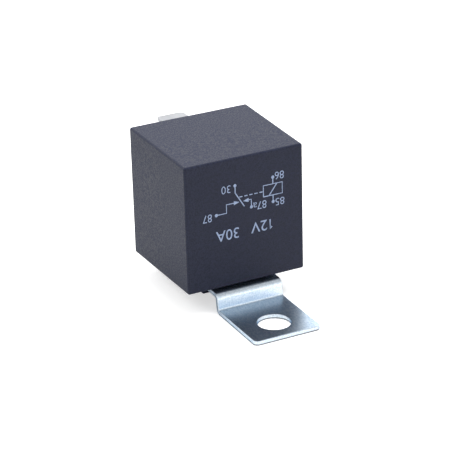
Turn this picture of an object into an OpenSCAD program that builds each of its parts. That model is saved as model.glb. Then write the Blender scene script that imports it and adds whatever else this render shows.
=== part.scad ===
// Five-pin cube relay for cars, with a joggled steel mounting bracket.
// Every piece is drawn standing on its terminals: Z runs from the base up to the closed,
// printed end of the cover, and the bracket is on the -Y side. lay_down() then puts the
// relay on its bracket, with the middle of the bolt hole's lower rim at the origin.

/* [Cover] */
// Width of the closed end, across the bracket
cover_w = 27.4; // [26.4:0.1:30]
// Height of the closed end, from the bracket's side to the side opposite
cover_h = 28.6; // [28:0.1:31]
// Depth from the open mouth to the closed end
cover_l = 25.8; // [24.5:0.1:30]
// How much each side leans outwards from the closed end to the mouth
draft = 0.3; // [0.1:0.05:0.5]
// Wall thickness
wall = 1.2; // [1:0.05:1.5]
// Radius of the outer edges
edge_r = 0.5; // [0.3:0.05:0.9]
// Wall that is left round the base's flange at the mouth
lip_wall = 0.7; // [0.5:0.05:0.9]
// Width of the centring ribs inside the cover
rib_w = 0.8; // [0.6:0.05:1.2]
// How far the centring ribs stand in from the wall
rib_rise = 0.4; // [0.2:0.05:0.5]

/* [Bracket pocket] */
// How far the pocket stands out from the cover's side
pocket_rise = 2.6; // [2.4:0.05:3.2]
// Distance from the closed end back to the pocket's open end
pocket_setback = 4.2; // [3:0.1:6]
// Wall beside the bracket in the pocket
pocket_cheek = 0.85; // [0.7:0.05:1.4]
// Closed end of the pocket, near the mouth
pocket_stop = 1.6; // [1.2:0.1:2.5]
// Height of the snap nib that enters the bracket's window
nib_rise = 0.75; // [0.5:0.05:0.9]

/* [Bracket] */
// Width of the steel strip
bracket_w = 15.4; // [14:0.1:17]
// Thickness of the steel strip
bracket_t = 1.0; // [0.9:0.05:1.2]
// Gap between the cover's side and the strip at the closed end
bracket_gap = 0.7; // [0.6:0.05:0.9]
// Offset between the two flats of the joggle
joggle = 3.5; // [2.6:0.1:4.5]
// Angle of the joggle's slope
joggle_angle = 82; // [55:1:86]
// Inside radius of the joggle's bends
bend_r = 0.4; // [0.4:0.05:0.9]
// Length of the upper flat past the closed end
flat_lead = 0.0; // [0:0.1:2]
// Radius of the bolt hole
bolt_hole_r = 3.5; // [2.7:0.05:4.3]
// Distance from the closed end to the middle of the bolt hole
hole_reach = 12.0; // [10:0.1:15]
// Distance from the middle of the bolt hole to the plate's end
plate_margin = 6.25; // [5.5:0.05:8]
// Radius of the plate's corners
plate_corner_r = 1.1; // [0.4:0.1:2.5]
// Size of the square window that the nib snaps into
window = 3.6; // [3:0.1:4.5]

/* [Base] */
// Thickness of the flange that closes the mouth
flange_t = 1.4; // [1:0.1:1.8]
// Height of the plug above the flange
plug_t = 1.6; // [1.3:0.1:2.2]
// Radius of the base's corners
base_corner_r = 0.9; // [0.5:0.1:1.6]
// Radius of the snap ridges on the plug's sides
snap_r = 0.3; // [0.2:0.05:0.4]
// How far the collars round the blades stand out below the base
collar_t = 0.5; // [0.3:0.05:0.9]

/* [Terminals] */
// Width of the tab blades
blade_w = 6.3; // [5.8:0.05:6.6]
// Thickness of the tab blades and their strips
blade_t = 0.8; // [0.7:0.01:0.9]
// Length of the blades below the base
blade_l = 10.6; // [9:0.1:12]
// Distance of blades 85 and 86 from the middle plane
coil_blade_x = 8.4; // [8.2:0.05:9.3]
// Height of the middle of blades 85 and 86
coil_blade_y = 2.2; // [1.1:0.1:3]
// Height of blade 87
make_blade_y = 11.2; // [10.8:0.05:11.4]
// Height of blade 87a
break_blade_y = 2.8; // [2.4:0.05:3.2]
// Height of the middle of blade 30
common_blade_y = -7.4; // [-8:0.05:-7.3]
// Width of the strip and post of 87a
break_strip_w = 3.0; // [2.4:0.1:3.2]
// Height of the posts of 85 and 86 above the base
coil_post_l = 5.2; // [4.4:0.1:6]

/* [Electromagnet] */
// Thickness of the yoke
yoke_t = 1.5; // [1.2:0.05:1.8]
// Width of the yoke
yoke_w = 12; // [11:0.1:12.6]
// Radius of the core
core_r = 3.0; // [2.4:0.05:3.2]
// Radius of the pole head on the core
pole_r = 4.3; // [3.8:0.05:4.8]
// Thickness of the pole head
pole_t = 1.2; // [0.9:0.05:1.6]
// Radius of the core's staked tail
tail_r = 1.75; // [1.4:0.05:1.8]
// Width of the bobbin's square flanges
bobbin_w = 13.2; // [12.4:0.1:13.4]
// Thickness of the bobbin's flanges
flange_thick = 0.9; // [0.7:0.05:1.2]
// Outer radius of the winding
winding_r = 6.1; // [5.4:0.05:6.1]
// Diameter of the winding's wire as it shows
wire_d = 0.45; // [0.35:0.05:0.6]

/* [Armature and contacts] */
// Thickness of the armature
armature_t = 1.3; // [1:0.05:1.6]
// Angle between the open and the closed armature
open_angle = 2.6; // [2:0.1:3.2]
// Thickness of the contact leaf
leaf_t = 0.3; // [0.2:0.02:0.4]
// Width of the contact leaf at the contact
leaf_w = 5.0; // [4.4:0.1:6]
// Radius of the contact rivets' heads
contact_r = 1.9; // [1.5:0.05:2.1]
// Height of the contact rivets' heads
contact_h = 0.8; // [0.6:0.05:0.9]
// Crown of the contact rivets' heads
contact_crown = 0.25; // [0.1:0.05:0.4]
// Radius of the contact rivets' shanks
shank_r = 0.8; // [0.6:0.05:1]
// Wire diameter of the return spring
spring_wire_d = 0.3; // [0.2:0.02:0.34]
// Outer diameter of the return spring
spring_d = 2.0; // [1.9:0.05:2.2]
// Turns of the return spring
spring_turns = 12; // [8:1:14]
// Diameter of the copper braid
braid_d = 1.2; // [0.9:0.05:1.3]

/* [Fits] */
// Gap between the base's plug and the cover
plug_gap = 0.05; // [0.03:0.01:0.1]
// Gap round the bracket in its pocket
slot_gap = 0.05; // [0.03:0.01:0.1]
// Gap round a blade in the base
blade_gap = 0.04; // [0.02:0.01:0.08]
// Gap round a rivet, a pin or the core in its hole
pin_gap = 0.02; // [0.01:0.01:0.04]
// Gap that is left between contacts or poles that meet
touch_gap = 0.04; // [0.03:0.01:0.06]
// Free space between parts that pass each other
free_gap = 0.4; // [0.3:0.05:0.45]

/* [Hidden] */
$fn = 48;
// A little more than a face, so that a cut leaves no skin
eps = 0.01;

// Colours of the finishes
black_plastic = [0.20, 0.21, 0.24];
zinc_steel = [0.78, 0.81, 0.85];
tinned_brass = [0.80, 0.80, 0.78];
soft_iron = [0.62, 0.63, 0.65];
natural_nylon = [0.88, 0.86, 0.78];
copper = [0.78, 0.45, 0.25];
bronze = [0.80, 0.55, 0.32];
silver = [0.86, 0.86, 0.84];
spring_steel = [0.55, 0.56, 0.58];

// Inside faces of the cover at the closed end, and the base's upper face
inner_x = cover_w / 2 - wall;
inner_y = cover_h / 2 - wall;
ceiling = cover_l - wall;
base_t = flange_t + plug_t;
snap_z = flange_t + plug_t / 2;
// How far the cover's sides lean out at height z
function lean(z) = draft * (cover_l - z) / cover_l;

// The bracket's strip in its pocket: heights of its two faces, its inner end, the window
strip_top = -(cover_h / 2 + bracket_gap);
strip_low = strip_top - bracket_t;
strip_tail = pocket_stop + slot_gap;
pocket_low = -(cover_h / 2 + pocket_rise);
pocket_end = cover_l - pocket_setback;
pocket_half = bracket_w / 2 + slot_gap + pocket_cheek;
window_z = (pocket_stop + pocket_end) / 2;
// The joggle: two bends with a slope between them
bend_mid_r = bend_r + bracket_t / 2;
slope_l = (joggle - 2 * bend_mid_r * (1 - cos(joggle_angle))) / sin(joggle_angle);
joggle_run = 2 * bend_mid_r * sin(joggle_angle) + slope_l * cos(joggle_angle);
plate_l = hole_reach + plate_margin - flat_lead - joggle_run;
// Middle of the bolt hole's lower rim
hole_y = strip_low - joggle;
hole_z = cover_l + hole_reach;

// Across the relay, from the bracket's side: spring, yoke, coil, contacts, post of 87a
wall_gap = 0.3;
spring_y = -inner_y + wall_gap + spring_d / 2;
hinge_y = spring_y + spring_d / 2 + free_gap;
yoke_front = hinge_y + yoke_t;
core_y = yoke_front + free_gap + bobbin_w / 2;
contact_margin = 0.3;
contact_y = make_blade_y - blade_t / 2 - contact_margin - contact_r;
post_y = inner_y - free_gap - blade_t;
foot_end_y = break_blade_y - blade_t / 2 - free_gap;

// Up the relay, from the base: folded foot of 30, yoke, coil, armature, contacts, arm.
// The coil fills the height that the others leave.
fold_r = blade_t / 2;
yoke_z = base_t + blade_t;
bobbin_z = yoke_z + yoke_t;
head_room = 1.4;
contact_rise = (contact_y - hinge_y) * sin(open_angle) + armature_t + leaf_t + contact_h;
hinge_z = ceiling - head_room - blade_t - contact_h - touch_gap - contact_rise;
pole_z = hinge_z - touch_gap;
bobbin_l = pole_z - pole_t - bobbin_z;
barrel_wall = 0.75;
barrel_r = core_r + pin_gap + barrel_wall;
leaf_z = hinge_z + armature_t;
leaf_top = leaf_z + leaf_t;

// Fixed contacts: the shelf of 87 is under the moving contact, the arm of 87a above it
shelf_z = leaf_z - 2 * contact_h - touch_gap - blade_t;
break_contact = swung(contact_y, leaf_top + contact_h);
arm_z = break_contact[1] + touch_gap + contact_h;
strip_rise = 0.6;
strip_z = base_t + strip_rise;
// The post of 87 ends here in X, and the strip of 87a starts past the parting beside it
make_post_x = 0.4;
parting = 0.8;
strip_x = make_post_x + parting + break_strip_w / 2;
// Clinched ends of the fixed contact rivets
clinch_h = 0.4;
clinch_w = 0.4;
// Sheet that is left round a contact rivet's head
contact_land = 0.6;

// Blades 85 and 86 above the base: a shoulder, then a post with a notch for the lead
shoulder = 0.6;
shoulder_l = 1.4;
coil_post_w = 2.4;
notch_depth = 0.6;
notch_z = base_t + coil_post_l - 1;

// Return spring: its loops hold on narrow necks of the yoke's lug and the armature's tail
spring_mid_r = (spring_d - spring_wire_d) / 2;
loop_room = 0.35;
neck_half = 0.6 * (spring_mid_r - spring_wire_d / 2);
neck_l = loop_room + spring_wire_d / 2;
tab_rim = 0.5;
tab_half = spring_mid_r + tab_rim;
tab_l = hinge_y - spring_y + spring_mid_r;
lug_rise = 4.2;
lug_z = yoke_z + lug_rise;

// Armature and leaf
ear_w = 1.3;
ear_half = yoke_w / 2 - ear_w;
ear_l = 1;
side_gap = 0.15;
pole_lap = 0.8;
armature_front = core_y + pole_r + pole_lap;
leaf_setback = 3.2;
leaf_back = hinge_y + leaf_setback;
leaf_back_w = 7.2;
rivet_inset = 2;
rivet_y = leaf_back + rivet_inset;
rivet_x = 2.2;
rivet_r = 0.7;
rivet_head_r = 1.3;
rivet_head_h = 0.6;

// A point of the closed armature, in the side view, where it is when the relay rests
function swung(y, z) = [
    hinge_y + (y - hinge_y) * cos(open_angle) - (z - hinge_z) * sin(open_angle),
    hinge_z + (y - hinge_y) * sin(open_angle) + (z - hinge_z) * cos(open_angle)];

// Turns what is drawn on the closed armature to its place at rest
module swing_open() {
    translate([0, hinge_y, hinge_z])
        rotate([open_angle, 0, 0])
            translate([0, -hinge_y, -hinge_z]) children();
}

// Lays the relay on its bracket, in its own frame
module lay_down() {
    rotate([90, 0, 0]) translate([0, -hole_y, -hole_z]) children();
}

module rounded_rect(w, h, r) {
    square([w - 2 * r, h], center = true);
    square([w, h - 2 * r], center = true);
    for (x = [-1, 1], y = [-1, 1])
        translate([x * (w / 2 - r), y * (h / 2 - r)]) circle(r);
}

// A rounded plate, centred in X and Y, that stands on z = 0
module rounded_plate(w, h, t, r) {
    linear_extrude(t) rounded_rect(w, h, r);
}

// A block, centred in X and Y, that stands on z = 0
module block(w, h, t) {
    translate([-w / 2, -h / 2, 0]) cube([w, h, t]);
}

// A block from one height in Y to another, centred in X
module slab(w, y0, y1, z0, z1) {
    translate([-w / 2, y0, z0]) cube([w, y1 - y0, z1 - z0]);
}

// Extrudes an outline of [y, z] points across X
module side_extrude(w) {
    translate([-w / 2, 0, 0]) rotate([90, 0, 90]) linear_extrude(w) children();
}

// Extrudes an outline of [x, z] points by t, centred on y = 0
module front_extrude(t) {
    translate([0, t / 2, 0]) rotate([90, 0, 0]) linear_extrude(t) children();
}

// A folded strip of sheet. It starts in the XY plane, runs up Z, is t thick towards +Y
// and is centred on X. Each step is [length, angle, width, shift in X]: a flat has a
// length, and a bend has an angle, which is positive where it turns towards +Y.
module folded_strip(t, r, steps, i = 0) {
    run = steps[i][0];
    turn = steps[i][1];
    w = steps[i][2];
    x = steps[i][3];
    pivot = turn > 0 ? t + r : -r;
    if (run > 0)
        translate([x - w / 2, 0, 0]) cube([w, t, run]);
    if (turn != 0)
        translate([x, pivot, 0])
            rotate([90, 0, turn > 0 ? -90 : 90])
                rotate_extrude(angle = abs(turn)) translate([r, -w / 2]) square([t, w]);
    if (i < len(steps) - 1)
        translate([0, pivot, run])
            rotate([-turn, 0, 0])
                translate([0, -pivot, 0]) folded_strip(t, r, steps, i + 1);
}

// A round wire along a list of points, whose rings are carried along without twist
function unit(v) = v / norm(v);
function along(p, i) = unit(p[min(i + 1, len(p) - 1)] - p[max(i - 1, 0)]);
function square_to(v, t) = unit(v - (v * t) * t);
module wire(p, r, sides = 8) {
    n = len(p);
    sideways = [for (i = 0, v = square_to([0.1, 1, 0.2], along(p, 0)); i < n;
        i = i + 1, v = square_to(v, along(p, min(i, n - 1)))) v];
    rings = [for (i = [0:n - 1], k = [0:sides - 1])
        let (a = 360 * k / sides, t = along(p, i), v = sideways[i])
            p[i] + r * (cos(a) * v + sin(a) * cross(t, v))];
    skin = [for (i = [0:n - 2], k = [0:sides - 1])
        let (j = (k + 1) % sides)
            [i * sides + k, (i + 1) * sides + k, (i + 1) * sides + j, i * sides + j]];
    first = [for (k = [0:sides - 1]) k];
    last = [for (k = [sides - 1:-1:0]) (n - 1) * sides + k];
    polyhedron(points = rings, faces = concat([first], skin, [last]), convexity = 6);
}

// Points of a smooth curve from a to d that leaves towards b and arrives from c
function curve(a, b, c, d, n) = [for (i = [0:n])
    let (s = i / n, q = 1 - s)
        q * q * q * a + 3 * q * q * s * b + 3 * q * s * s * c + s * s * s * d];

// COVER

// A block whose sides lean out by the draft towards z = 0, with round edges
module moulded_block(w, h, l, r) {
    hull() for (x = [-1, 1], y = [-1, 1]) {
        translate([x * (w / 2 - r), y * (h / 2 - r), l - r]) sphere(r, $fn = 32);
        translate([x * (w / 2 + draft - r), y * (h / 2 + draft - r), 0])
            cylinder(r = r, h = eps, $fn = 32);
    }
}

// Ridge that snaps the base into the cover, once on each side, with room g round it
module snap_ridges(g) {
    ridge_l = 8;
    inset = snap_r / 2 + plug_gap;
    for (a = [0:90:270]) {
        half = (a % 180 == 0 ? cover_w : cover_h) / 2 - wall + lean(snap_z);
        rotate([0, 0, a]) translate([half - inset, 0, snap_z])
            rotate([90, 0, 0]) cylinder(r = snap_r + g, h = ridge_l + 2 * g, center = true);
    }
}

// The pocket as a solid, with its two outer edges rounded
module pocket_body() {
    slab(2 * pocket_half, pocket_low + edge_r, strip_top + wall, 0, pocket_end);
    slab(2 * (pocket_half - edge_r), pocket_low, strip_top + wall, 0, pocket_end);
    for (x = [-1, 1])
        translate([x * (pocket_half - edge_r), pocket_low + edge_r, 0])
            cylinder(r = edge_r, h = pocket_end);
}

// The nib slopes on the side that the strip is pushed in from, and is square behind
module snap_nib() {
    back = window_z - window / 2 + 2 * slot_gap;
    front = window_z + window / 2 - 2 * slot_gap;
    roof = strip_top + slot_gap;
    tip = strip_top - nib_rise;
    root = roof + wall / 4;
    land = 0.5;
    side_room = 0.3;
    side_extrude(window - 2 * side_room)
        polygon([[root, back], [tip, back], [tip, back + land], [roof, front], [root, front]]);
}

module cover() {
    rib_y = inner_y / 2;
    tool_room = 0.4;
    color(black_plastic) lay_down() {
        difference() {
            union() {
                moulded_block(cover_w, cover_h, cover_l, edge_r);
                pocket_body();
            }
            difference() {
                translate([0, 0, -eps])
                    moulded_block(2 * inner_x, 2 * inner_y, ceiling + eps, edge_r);
                // Ribs that centre the works, two on each side wall
                for (x = [-1, 1], y = [-1, 1])
                    translate([x * inner_x, y * rib_y, base_t + free_gap])
                        block(2 * rib_rise, rib_w, cover_l);
            }
            // Seat of the base's flange
            translate([0, 0, -eps])
                rounded_plate(cover_w + 2 * lean(flange_t) - 2 * lip_wall,
                    cover_h + 2 * lean(flange_t) - 2 * lip_wall,
                    flange_t + eps, base_corner_r);
            snap_ridges(plug_gap);
            // Slot that the bracket is pushed into from the closed end
            slab(bracket_w + 2 * slot_gap, strip_low - slot_gap, strip_top + slot_gap,
                pocket_stop, pocket_end + eps);
            // Opening that the tool leaves below the nib
            slab(window + 2 * tool_room, pocket_low - eps, strip_low,
                window_z - window / 2 - tool_room, window_z + window / 2 + tool_room);
        }
        snap_nib();
    }
}

// BASE

// The five blade slots, with room g round the blades
module blade_slots(g, z0, z1) {
    long = blade_w + 2 * g;
    thin = blade_t + 2 * g;
    for (y = [make_blade_y, break_blade_y])
        translate([0, y, z0]) block(long, thin, z1 - z0);
    translate([0, common_blade_y, z0]) block(thin, long, z1 - z0);
    for (x = [-1, 1])
        translate([x * coil_blade_x, coil_blade_y, z0]) block(thin, long, z1 - z0);
}

// Collars round the blades, and the hollows between them that keep the moulding thin
collar = 0.9;
hollow_gap = 1;
hollow_depth = 0.9;
hollow_r = 0.6;
middle_w = 6.8;
middle_h = make_blade_y - break_blade_y - blade_t - 2 * (collar + hollow_gap);
upper_w = 5;
upper_h = 4.2;
upper_y = coil_blade_y + blade_w / 2 + collar + hollow_gap + upper_h / 2;
lower_w = 6;
lower_x = (blade_t / 2 + collar + inner_x) / 2;

// Places of the hollows: x, y, width and height
hollows = concat([[0, (make_blade_y + break_blade_y) / 2, middle_w, middle_h]],
    [for (x = [-1, 1]) [x * coil_blade_x, upper_y, upper_w, upper_h]],
    [for (x = [-1, 1]) [x * lower_x, common_blade_y, lower_w, lower_w]]);

module base() {
    pad = 2.2;
    pad_h = yoke_z - base_t;
    rib_l = 4;
    fold_room = 0.1;
    color(black_plastic) lay_down() difference() {
        union() {
            rounded_plate(cover_w + 2 * lean(flange_t) - 2 * lip_wall - 2 * plug_gap,
                cover_h + 2 * lean(flange_t) - 2 * lip_wall - 2 * plug_gap,
                flange_t, base_corner_r);
            rounded_plate(cover_w + 2 * lean(base_t) - 2 * wall - 2 * plug_gap,
                cover_h + 2 * lean(base_t) - 2 * wall - 2 * plug_gap,
                base_t, base_corner_r);
            snap_ridges(0);
            blade_slots(collar, -collar_t, base_t / 2);
            // Pads under the yoke's foot, level with the folded foot of blade 30
            translate([-yoke_w / 4, common_blade_y, base_t]) block(pad, 2 * pad, pad_h);
            for (x = [-1, 1])
                translate([x * (yoke_w - pad) / 2, foot_end_y - pad / 2, base_t])
                    block(pad, pad, pad_h);
            // Rib under the strip of 87a
            translate([strip_x, (break_blade_y + make_blade_y) / 2, base_t])
                block(break_strip_w, rib_l, strip_rise);
        }
        blade_slots(blade_gap, -collar_t - eps, base_t + strip_rise + eps);
        // Room for the fold of blade 30
        translate([0, common_blade_y - blade_w / 2 - blade_gap, base_t - fold_r - fold_room])
            cube([blade_t / 2 + fold_r + fold_room, blade_w + 2 * blade_gap,
                fold_r + 2 * fold_room]);
        for (h = hollows)
            translate([h[0], h[1], -eps]) rounded_plate(h[2], h[3], hollow_depth, hollow_r);
    }
}

// BRACKET

// Middle line of a folded sheet, seen from the side, as [[y, z], heading] from the start.
// Each step is a flat, [length, 0], or a bend, [0, angle], and a bend turns towards -Y.
bend_facets = 10;
function ahead(h) = [-sin(h), cos(h)];
function across(h) = [cos(h), sin(h)];
function fold_line(steps, mid_r, p, h = 0, i = 0) = i == len(steps) ? [] :
    let (turn = steps[i][1], side = sign(turn), centre = p - side * mid_r * across(h),
        next = turn == 0 ? [[p + steps[i][0] * ahead(h), h]] :
            [for (k = [1:bend_facets]) let (a = h + turn * k / bend_facets)
                [centre + side * mid_r * across(a), a]],
        end = next[len(next) - 1])
    concat(next, fold_line(steps, mid_r, end[0], end[1], i + 1));

// Outline of the sheet itself, half its thickness on both sides of the middle line
function sheet_outline(line, t) = concat(
    [for (s = line) s[0] + t / 2 * across(s[1])],
    [for (i = [len(line) - 1:-1:0]) line[i][0] - t / 2 * across(line[i][1])]);

module bracket() {
    lead_in = 1;
    start = [strip_low + bracket_t / 2, strip_tail];
    grip_l = cover_l + flat_lead - strip_tail;
    line = concat([[start, 0]], fold_line([[grip_l, 0], [0, joggle_angle], [slope_l, 0],
        [0, -joggle_angle], [plate_l, 0]], bend_mid_r, start));
    end_z = hole_z + plate_margin;
    w = bracket_w / 2;
    color(zinc_steel) lay_down() difference() {
        intersection() {
            side_extrude(bracket_w) polygon(sheet_outline(line, bracket_t));
            // The strip seen from above: chamfers lead it in, and the plate's corners are round
            translate([0, strip_low - joggle / 2, 0]) front_extrude(4 * joggle) {
                polygon([[-w, strip_tail + lead_in], [lead_in - w, strip_tail],
                    [w - lead_in, strip_tail], [w, strip_tail + lead_in],
                    [w, end_z - plate_corner_r], [-w, end_z - plate_corner_r]]);
                translate([0, end_z - bracket_w / 2])
                    rounded_rect(bracket_w, bracket_w, plate_corner_r);
            }
        }
        translate([0, hole_y - eps, hole_z])
            rotate([-90, 0, 0]) cylinder(r = bolt_hole_r, h = bracket_t + 2 * eps);
        // Window for the snap nib
        slab(window, strip_low - eps, strip_top + eps,
            window_z - window / 2, window_z + window / 2);
    }
}

// TERMINALS

// A tab blade below z = 0 and up to z = top: wide in X, with a tapered, coined tip
module blade(top) {
    taper_l = 1.2;
    taper_w = 0.45;
    coined_l = 1;
    tip_t = blade_t * 0.4;
    w = blade_w / 2;
    t = blade_t / 2;
    intersection() {
        front_extrude(blade_t)
            polygon([[-w, top], [-w, taper_l - blade_l], [taper_w - w, -blade_l],
                [w - taper_w, -blade_l], [w, taper_l - blade_l], [w, top]]);
        side_extrude(blade_w + 2 * eps)
            polygon([[-t, top], [-t, coined_l - blade_l], [-tip_t / 2, -blade_l],
                [tip_t / 2, -blade_l], [t, coined_l - blade_l], [t, top]]);
    }
}

// Blade 85 or 86: flat, with a shoulder on the base and a notched post for the coil lead
module coil_terminal(side) {
    color(tinned_brass) lay_down()
        translate([side * coil_blade_x, coil_blade_y, 0]) rotate([0, 0, 90]) {
            blade(base_t);
            translate([0, 0, base_t]) block(blade_w + 2 * shoulder, blade_t, shoulder_l);
            difference() {
                translate([0, 0, base_t]) block(coil_post_w, blade_t, coil_post_l);
                translate([coil_post_w / 2, 0, notch_z])
                    rotate([90, 0, 0])
                        cylinder(r = notch_depth, h = 2 * blade_t, center = true);
            }
        }
}

module terminal_85() {
    coil_terminal(-1);
}

module terminal_86() {
    coil_terminal(1);
}

// Blade 30: its foot is folded flat and welded under the yoke
module terminal_30() {
    setback = 0.6;
    foot_l = yoke_w / 2 - blade_t / 2 - fold_r - setback;
    color(tinned_brass) lay_down()
        translate([0, common_blade_y, 0]) rotate([0, 0, -90]) {
            blade(base_t - fold_r);
            translate([0, -blade_t / 2, base_t - fold_r])
                folded_strip(blade_t, fold_r,
                    [[0, 90, blade_w, 0], [foot_l, 0, blade_w, 0]]);
        }
}

// Blade 87: a post beside its strip, folded into the shelf of the make contact
module terminal_87() {
    post_w = 4.6;
    post_x = make_post_x - post_w / 2;
    front = make_blade_y - blade_t / 2;
    shelf_l = front - fold_r - (contact_y - contact_r - contact_margin);
    color(tinned_brass) lay_down() difference() {
        union() {
            translate([0, make_blade_y, 0]) blade(base_t);
            translate([0, front, base_t])
                folded_strip(blade_t, fold_r, [
                    [shelf_z - fold_r - base_t, 0, post_w, post_x],
                    [0, -90, post_w, post_x],
                    [shelf_l, 0, blade_w, 0]]);
        }
        translate([0, contact_y, shelf_z - eps])
            cylinder(r = shank_r + pin_gap, h = blade_t + 2 * eps);
    }
}

// Blade 87a: a strip across the base, a post at the wall and an arm over the contacts
module terminal_87a() {
    w = break_strip_w;
    x = strip_x;
    // From the strip's far side to past the contact
    arm_w = x + w / 2 + contact_r + contact_land;
    arm_x = x + w / 2 - arm_w / 2;
    fold_z = strip_z - fold_r;
    strip_l = post_y - fold_r - (break_blade_y + blade_t / 2 + fold_r);
    post_l = arm_z - fold_r - (strip_z + blade_t + fold_r);
    arm_l = post_y - fold_r - (break_contact[0] - contact_r - contact_margin);
    color(tinned_brass) lay_down() difference() {
        union() {
            translate([0, break_blade_y, 0]) blade(fold_z);
            translate([0, break_blade_y - blade_t / 2, fold_z])
                folded_strip(blade_t, fold_r, [
                    [0, 90, w, x],
                    [strip_l, 0, w, x],
                    [0, -90, w, x],
                    [post_l, 0, w, x],
                    [0, -90, w, x],
                    [arm_l, 0, arm_w, arm_x]]);
        }
        translate([0, break_contact[0], arm_z - eps])
            cylinder(r = shank_r + pin_gap, h = blade_t + 2 * eps);
    }
}

// MAGNET

// Tab with a narrow neck for a loop of the return spring, from y = 0 towards -Y
module hook_tab() {
    neck_y = spring_y - hinge_y;
    translate([-tab_half, neck_y + neck_l]) square([2 * tab_half, -neck_y - neck_l + eps]);
    translate([-neck_half, neck_y - neck_l - eps])
        square([2 * neck_half, 2 * neck_l + 2 * eps]);
    translate([-tab_half, -tab_l]) square([2 * tab_half, tab_l + neck_y - neck_l]);
}

module yoke() {
    inner_r = 0.3;
    foot_l = foot_end_y - yoke_front - inner_r;
    leg_l = pole_z - bobbin_z - inner_r;
    window_half = tab_half + side_gap;
    color(soft_iron) lay_down() difference() {
        union() {
            translate([0, foot_end_y, yoke_z]) rotate([90, 0, 0])
                folded_strip(yoke_t, inner_r, [
                    [foot_l, 0, yoke_w, 0],
                    [0, 90, yoke_w, 0],
                    [leg_l, 0, yoke_w, 0]]);
            // Ears that keep the armature in line
            for (x = [-1, 1])
                translate([x * (ear_half + ear_w / 2), hinge_y + yoke_t / 2, pole_z - eps])
                    block(ear_w, yoke_t, ear_l + eps);
            // Lug for the spring
            translate([0, hinge_y, lug_z]) linear_extrude(yoke_t) hook_tab();
        }
        // Window that the lug was bent out of
        slab(2 * window_half, hinge_y - eps, yoke_front + eps,
            lug_z + yoke_t, lug_z + yoke_t + tab_l);
        translate([0, core_y, yoke_z - eps])
            cylinder(r = tail_r + pin_gap, h = yoke_t + 2 * eps);
    }
}

// Turned core: pole head, shank and the tail that is staked under the yoke's foot
module core() {
    stake_h = 0.6;
    stake_w = 0.35;
    chamfer = 0.3;
    color(soft_iron) lay_down() translate([0, core_y, 0]) {
        translate([0, 0, pole_z - pole_t]) cylinder(r = pole_r, h = pole_t - chamfer);
        translate([0, 0, pole_z - chamfer])
            cylinder(r1 = pole_r, r2 = pole_r - chamfer, h = chamfer);
        translate([0, 0, bobbin_z]) cylinder(r = core_r, h = bobbin_l + eps);
        translate([0, 0, yoke_z - eps]) cylinder(r = tail_r, h = yoke_t + 2 * eps);
        translate([0, 0, yoke_z - stake_h]) cylinder(r = tail_r + stake_w, h = stake_h);
    }
}

// Bobbin: a barrel with square flanges, and slots where the leads come out
module bobbin() {
    slot_w = 2;
    corner_r = 1.6;
    color(natural_nylon) lay_down() translate([0, core_y, bobbin_z]) difference() {
        union() {
            rounded_plate(bobbin_w, bobbin_w, flange_thick, corner_r);
            translate([0, 0, bobbin_l - flange_thick])
                rounded_plate(bobbin_w, bobbin_w, flange_thick, corner_r);
            cylinder(r = barrel_r, h = bobbin_l);
        }
        translate([0, 0, -eps]) cylinder(r = core_r + pin_gap, h = bobbin_l + 2 * eps);
        for (x = [-1, 1])
            translate([x * bobbin_w / 2, coil_blade_y - core_y, bobbin_l - flange_thick - eps])
                block(slot_w, slot_w, flange_thick + 2 * eps);
    }
}

// The winding and its two leads are one wire: each turn shows as a ridge
module winding() {
    low = bobbin_z + flange_thick + pin_gap;
    high = bobbin_z + bobbin_l - flange_thick - pin_gap;
    turns = floor((high - low) / wire_d);
    pitch = (high - low) / turns;
    groove = 0.12;
    lead_d = 0.8 * wire_d;
    lead_bow = 0.6;
    lead_start = [winding_r - 1, core_y + 1.5, low + lead_bow];
    lead_y = coil_blade_y + coil_post_w / 2 - notch_depth + lead_d / 2 + touch_gap;
    color(copper) lay_down() {
        translate([0, core_y, 0]) rotate_extrude()
            polygon(concat([[barrel_r + pin_gap, low]],
                [for (i = [0:turns - 1], k = [0, 1])
                    [winding_r - (k == 0 ? groove : 0), low + pitch * (i + k / 2)]],
                [[winding_r - groove, high], [barrel_r + pin_gap, high]]));
        for (x = [-1, 1])
            wire(concat(
                curve([x * lead_start[0], lead_start[1], lead_start[2]],
                    [x * (winding_r + lead_bow), lead_start[1] + lead_bow, lead_start[2]],
                    [x * (coil_blade_x - 2 * blade_t), lead_y, notch_z],
                    [x * (coil_blade_x - blade_t), lead_y, notch_z], 8),
                [[x * coil_blade_x, lead_y, notch_z],
                    [x * (coil_blade_x + blade_t), lead_y, notch_z]]),
                lead_d / 2);
    }
}

// MOVING PARTS

module armature() {
    throat_half = ear_half - side_gap;
    ear_room = 0.25;
    corner_r = 1;
    back = yoke_front + ear_room;
    color(soft_iron) lay_down() swing_open() difference() {
        translate([0, 0, hinge_z]) linear_extrude(armature_t) {
            translate([0, (back + armature_front) / 2])
                rounded_rect(yoke_w, armature_front - back, corner_r);
            translate([-throat_half, hinge_y])
                square([2 * throat_half, rivet_y - hinge_y]);
            translate([0, hinge_y]) hook_tab();
        }
        for (x = [-1, 1])
            translate([x * rivet_x, rivet_y, hinge_z - eps])
                cylinder(r = rivet_r + pin_gap, h = armature_t + 2 * eps);
    }
}

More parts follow.
